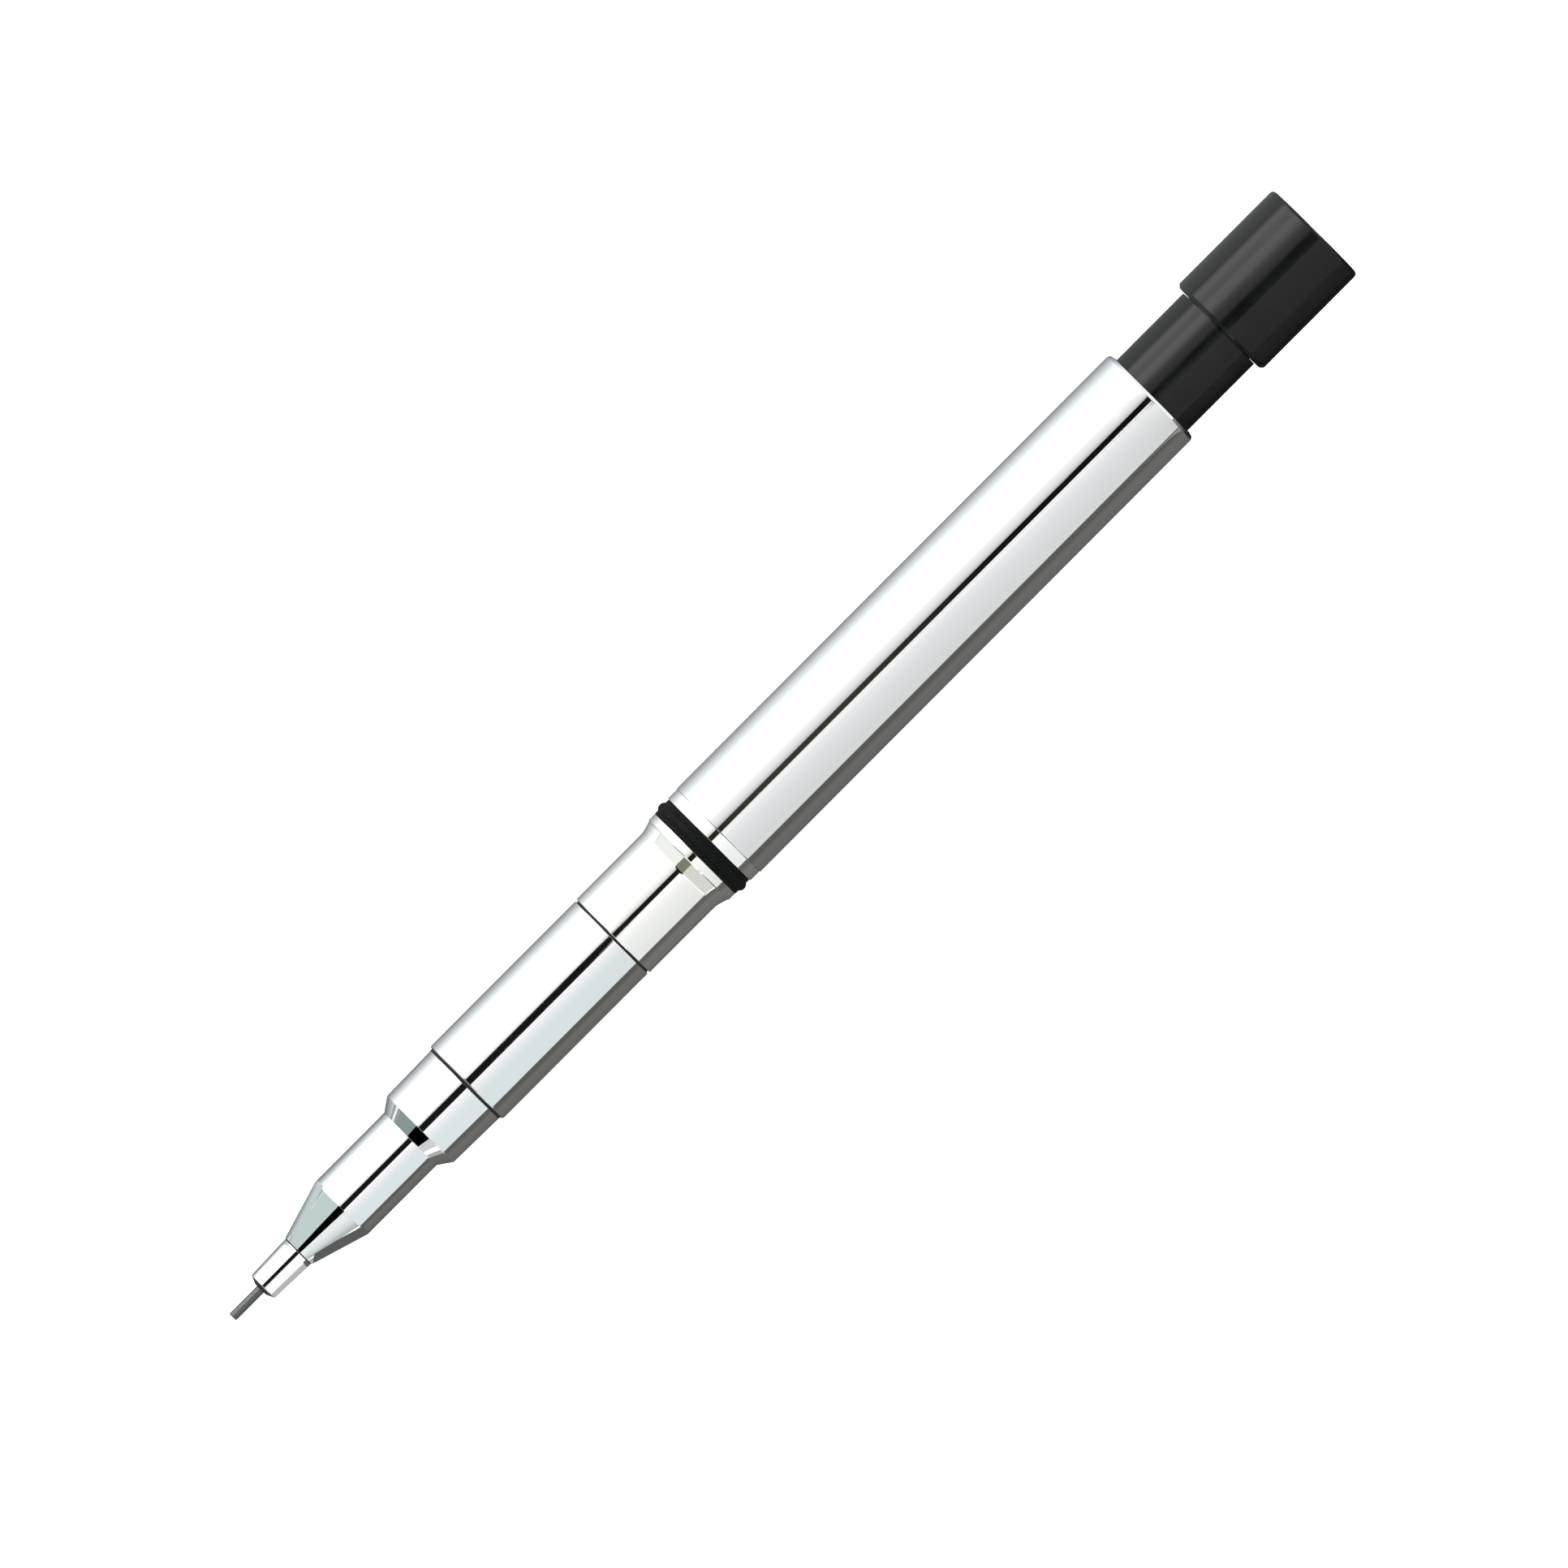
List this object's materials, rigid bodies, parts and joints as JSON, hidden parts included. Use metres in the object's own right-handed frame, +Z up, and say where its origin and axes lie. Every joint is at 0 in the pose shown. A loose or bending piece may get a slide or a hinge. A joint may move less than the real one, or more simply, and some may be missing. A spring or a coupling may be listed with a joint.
{
  "type": "mechanical pencil",
  "caption": "Slim bright metal push-button mechanical pencil with a stepped nose, a black rubber ring at mid-length and a black push cap over an eraser.",
  "frame": {"origin": "on the table under the middle of the pencil's length, with the pencil lying down", "axes": "+X along the pencil from the lead tip to the push cap, +Z up from the table, the pencil's own axis 5.45 mm above the table"},
  "size_m": [0.14, 0.0108, 0.0109],
  "materials": {
    "polished_chrome": "mirror-bright chromium plate on brass",
    "black_plastic": "semi-gloss black moulding",
    "black_rubber": "matt black rubber",
    "graphite": "satin grey polymer-bound graphite",
    "turned_brass": "turned brass",
    "spring_steel": "drawn steel",
    "white_plastic": "natural translucent white tube",
    "grey_plastic": "grey acetal",
    "eraser_rubber": "matt white eraser"
  },
  "bodies": {
    "barrel": {"front_barrel": "polished_chrome", "connector": "polished_chrome", "o_ring": "black_rubber", "joint_ring": "polished_chrome", "rear_barrel": "polished_chrome", "guide_bush": "grey_plastic", "chuck_sleeve": "turned_brass", "spring_seat": "spring_steel", "return_spring": "spring_steel"},
    "retainer": {"lead_retainer": "black_rubber"},
    "nose": {"tip_guide": "polished_chrome", "nose_cone": "polished_chrome"},
    "button": {"plunger": "black_plastic", "lead_tube": "white_plastic", "spare_leads": "graphite", "chuck": "turned_brass"},
    "clutch": {"clutch_ring": "turned_brass"},
    "lead": {"lead": "graphite"},
    "eraser": {"eraser": "eraser_rubber", "eraser_holder": "spring_steel", "cleaning_needle": "spring_steel"},
    "cap": {"cap": "black_plastic"}
  },
  "joints": [
    {"name": "knock", "type": "slide", "parent": "barrel", "child": "button", "axis": [-1, 0, 0], "range_m": [0, 0.004], "stiffness_N_per_m": 600, "springref_m": -0.004, "deforming": ["return_spring"]},
    {"name": "clutch_slide", "type": "slide", "parent": "barrel", "child": "clutch", "axis": [-1, 0, 0], "range_m": [0, 0.001]},
    {"name": "lead_feed", "type": "slide", "parent": "clutch", "child": "lead", "axis": [-1, 0, 0], "range_m": [-0.0036, 0.036]},
    {"name": "eraser_pull", "type": "slide", "parent": "button", "child": "eraser", "axis": [1, 0, 0], "range_m": [0, 0.038]},
    {"name": "cap_pull", "type": "slide", "parent": "eraser", "child": "cap", "axis": [1, 0, 0], "range_m": [0, 0.012]},
    {"name": "nose_travel", "type": "slide", "parent": "barrel", "child": "retainer", "axis": [-1, 0, 0], "range_m": [0, 0.00525]},
    {"name": "nose_turn", "type": "hinge", "parent": "retainer", "child": "nose", "pos_m": [-0.05, 0, 0.00545], "axis": [-1, 0, 0], "range_deg": [0, 2520]}
  ],
  "couplings": [
    {"joint": "clutch_slide", "follows": "knock", "ratio": 0.25},
    {"joint": "nose_turn", "follows": "nose_travel", "rad_per_m": 8377.6}
  ]
}
